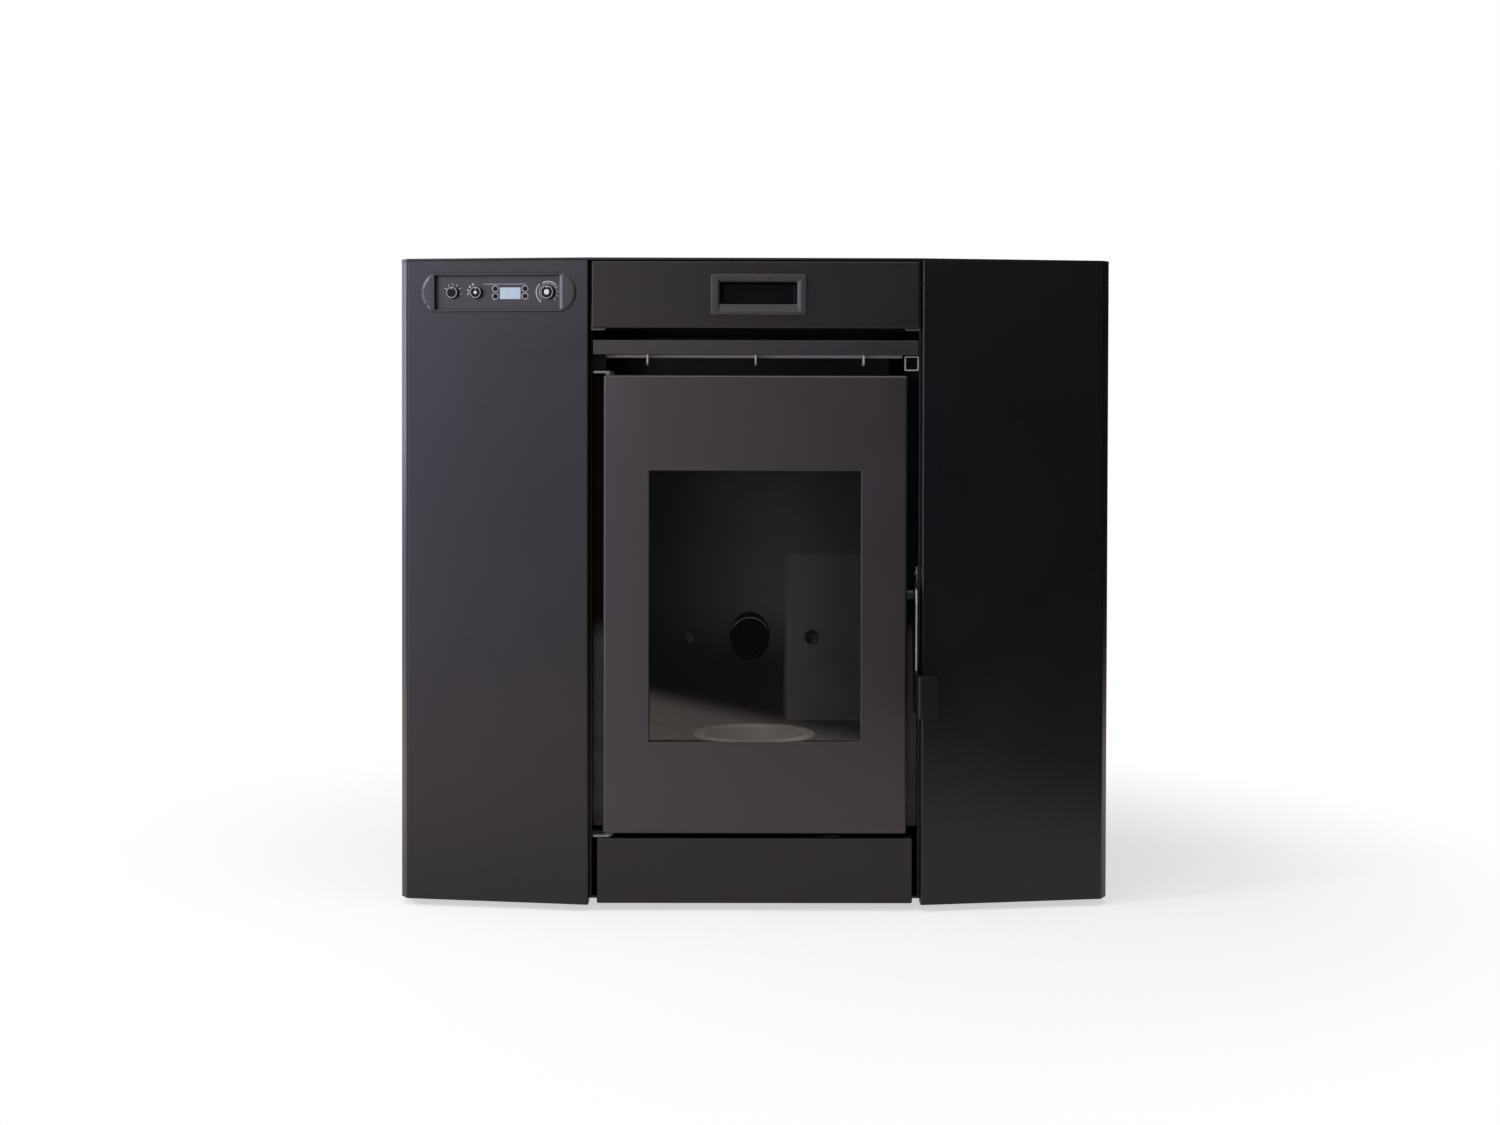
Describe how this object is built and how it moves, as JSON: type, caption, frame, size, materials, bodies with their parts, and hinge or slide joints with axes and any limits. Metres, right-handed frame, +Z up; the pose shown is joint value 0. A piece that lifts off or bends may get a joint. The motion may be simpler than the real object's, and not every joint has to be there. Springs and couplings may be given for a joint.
{
  "type": "pellet stove",
  "caption": "Free-standing pellet stove with swept side wings, glazed fire door on pintle hinges, pellet drawer above and ash drawer below.",
  "frame": {"origin": "on the floor, under the middle of the bounding box", "axes": "+X to the right seen from the front, +Y to the back, +Z up"},
  "size_m": [0.9, 0.62, 0.82],
  "materials": {
    "powder_coat": "satin powder coat, anthracite",
    "door_paint": "satin heat-resistant paint, dark grey",
    "black_steel": "matt black heat-resistant paint",
    "cast_iron": "matt, rough cast",
    "zinc_steel": "zinc plated",
    "stainless": "plain stainless steel",
    "heat_glass": "clear ceramic glass, polished",
    "rope": "knitted glass-fibre rope",
    "black_plastic": "fine-textured moulded plastic",
    "display": "lit pale-blue liquid crystal display",
    "circuit_board": "green solder mask",
    "rubber": "matt"
  },
  "bodies": {
    "stove": {"wing_left": "powder_coat", "wing_right": "powder_coat", "top_cover": "powder_coat", "base_plate": "black_steel", "chassis_side_left": "black_steel", "chassis_side_right": "black_steel", "rear_panel": "black_steel", "foot_front_left": "rubber", "foot_front_right": "rubber", "foot_rear_left": "rubber", "foot_rear_right": "rubber", "drawer_runner_left": "zinc_steel", "drawer_runner_right": "zinc_steel", "outlet_bar": "powder_coat", "hinge_pintle_upper": "zinc_steel", "hinge_pintle_lower": "zinc_steel", "latch_keeper": "zinc_steel", "firebox": "black_steel", "fireback_plate": "cast_iron", "fireback_bolt_left": "stainless", "fireback_bolt_right": "stainless", "flame_baffle": "cast_iron", "igniter": "zinc_steel", "hopper": "zinc_steel", "auger_tube": "zinc_steel", "auger_gearmotor": "black_steel", "pellet_chute": "zinc_steel", "exhaust_fan_housing": "zinc_steel", "exhaust_fan_motor": "black_steel", "flue_spigot": "zinc_steel", "air_intake_pipe": "zinc_steel", "room_fan_housing": "zinc_steel", "control_bezel": "black_plastic", "display_module": "display", "control_board": "circuit_board", "mains_inlet": "black_plastic"},
    "pellet_drawer": {"pellet_drawer_front": "powder_coat", "drawer_grip": "black_plastic", "pellet_drawer_tray": "zinc_steel"},
    "ash_drawer": {"ash_drawer_front": "powder_coat", "ash_drawer_box": "zinc_steel"},
    "door": {"door_panel": "door_paint", "door_frame": "cast_iron", "door_seal": "rope", "glass_gasket": "rope", "door_glass": "heat_glass", "handle_pivot_screw": "stainless"},
    "handle": {"door_handle": "black_steel"},
    "burn_pot": {"burn_pot": "cast_iron"},
    "auger": {"auger_screw": "stainless"},
    "exhaust_wheel": {"exhaust_fan_wheel": "stainless"},
    "room_wheel": {"room_fan_wheel": "black_plastic"},
    "mode_knob": {"knob_mode": "black_plastic"},
    "fan_knob": {"knob_fan": "black_plastic"},
    "heat_knob": {"knob_heat": "black_plastic"},
    "upper_left_button": {"button_upper_left": "black_plastic"},
    "lower_left_button": {"button_lower_left": "black_plastic"},
    "upper_right_button": {"button_upper_right": "black_plastic"},
    "lower_right_button": {"button_lower_right": "black_plastic"},
    "rocker": {"rocker_switch": "black_plastic"}
  },
  "joints": [
    {"name": "door_hinge", "type": "hinge", "parent": "stove", "child": "door", "pos_m": [-0.183, -0.238, 0.386], "axis": [0, 0, -1], "range_deg": [0, 105]},
    {"name": "handle_lever", "type": "hinge", "parent": "door", "child": "handle", "pos_m": [0.201, -0.236, 0.398], "axis": [-1, 0, 0], "range_deg": [0, 55]},
    {"name": "pellet_drawer_slide", "type": "slide", "parent": "stove", "child": "pellet_drawer", "axis": [0, -1, 0], "range_m": [0, 0.22]},
    {"name": "ash_drawer_slide", "type": "slide", "parent": "stove", "child": "ash_drawer", "axis": [0, -1, 0], "range_m": [0, 0.2]},
    {"name": "burn_pot_lift", "type": "slide", "parent": "stove", "child": "burn_pot", "axis": [0, 0, 1], "range_m": [0, 0.06]},
    {"name": "auger_spin", "type": "hinge", "parent": "stove", "child": "auger", "pos_m": [-0.04, 0.153, 0.42], "axis": [0.866, 0, -0.5], "continuous": true},
    {"name": "exhaust_fan_spin", "type": "hinge", "parent": "stove", "child": "exhaust_wheel", "pos_m": [-0.08, 0.112, 0.13], "axis": [0, 1, 0], "continuous": true},
    {"name": "room_fan_spin", "type": "hinge", "parent": "stove", "child": "room_wheel", "pos_m": [0.11, 0.15, 0.071], "axis": [1, 0, 0], "continuous": true},
    {"name": "mode_knob_turn", "type": "hinge", "parent": "stove", "child": "mode_knob", "pos_m": [-0.38312, -0.22371, 0.777], "axis": [0.1489, 0.9889, 0], "range_deg": [0, 270]},
    {"name": "fan_knob_turn", "type": "hinge", "parent": "stove", "child": "fan_knob", "pos_m": [-0.35247, -0.22833, 0.777], "axis": [0.1489, 0.9889, 0], "range_deg": [0, 270]},
    {"name": "heat_knob_turn", "type": "hinge", "parent": "stove", "child": "heat_knob", "pos_m": [-0.26139, -0.24204, 0.777], "axis": [0.1489, 0.9889, 0], "range_deg": [0, 270]},
    {"name": "upper_left_press", "type": "slide", "parent": "stove", "child": "upper_left_button", "axis": [0.1489, 0.9889, 0], "range_m": [0, 0.001], "stiffness_N_per_m": 200},
    {"name": "lower_left_press", "type": "slide", "parent": "stove", "child": "lower_left_button", "axis": [0.1489, 0.9889, 0], "range_m": [0, 0.001], "stiffness_N_per_m": 200},
    {"name": "upper_right_press", "type": "slide", "parent": "stove", "child": "upper_right_button", "axis": [0.1489, 0.9889, 0], "range_m": [0, 0.001], "stiffness_N_per_m": 200},
    {"name": "lower_right_press", "type": "slide", "parent": "stove", "child": "lower_right_button", "axis": [0.1489, 0.9889, 0], "range_m": [0, 0.001], "stiffness_N_per_m": 200},
    {"name": "rocker_tip", "type": "hinge", "parent": "stove", "child": "rocker", "pos_m": [0.33, 0.269, 0.115], "axis": [0, 0, -1], "range_deg": [0, 16]}
  ]
}
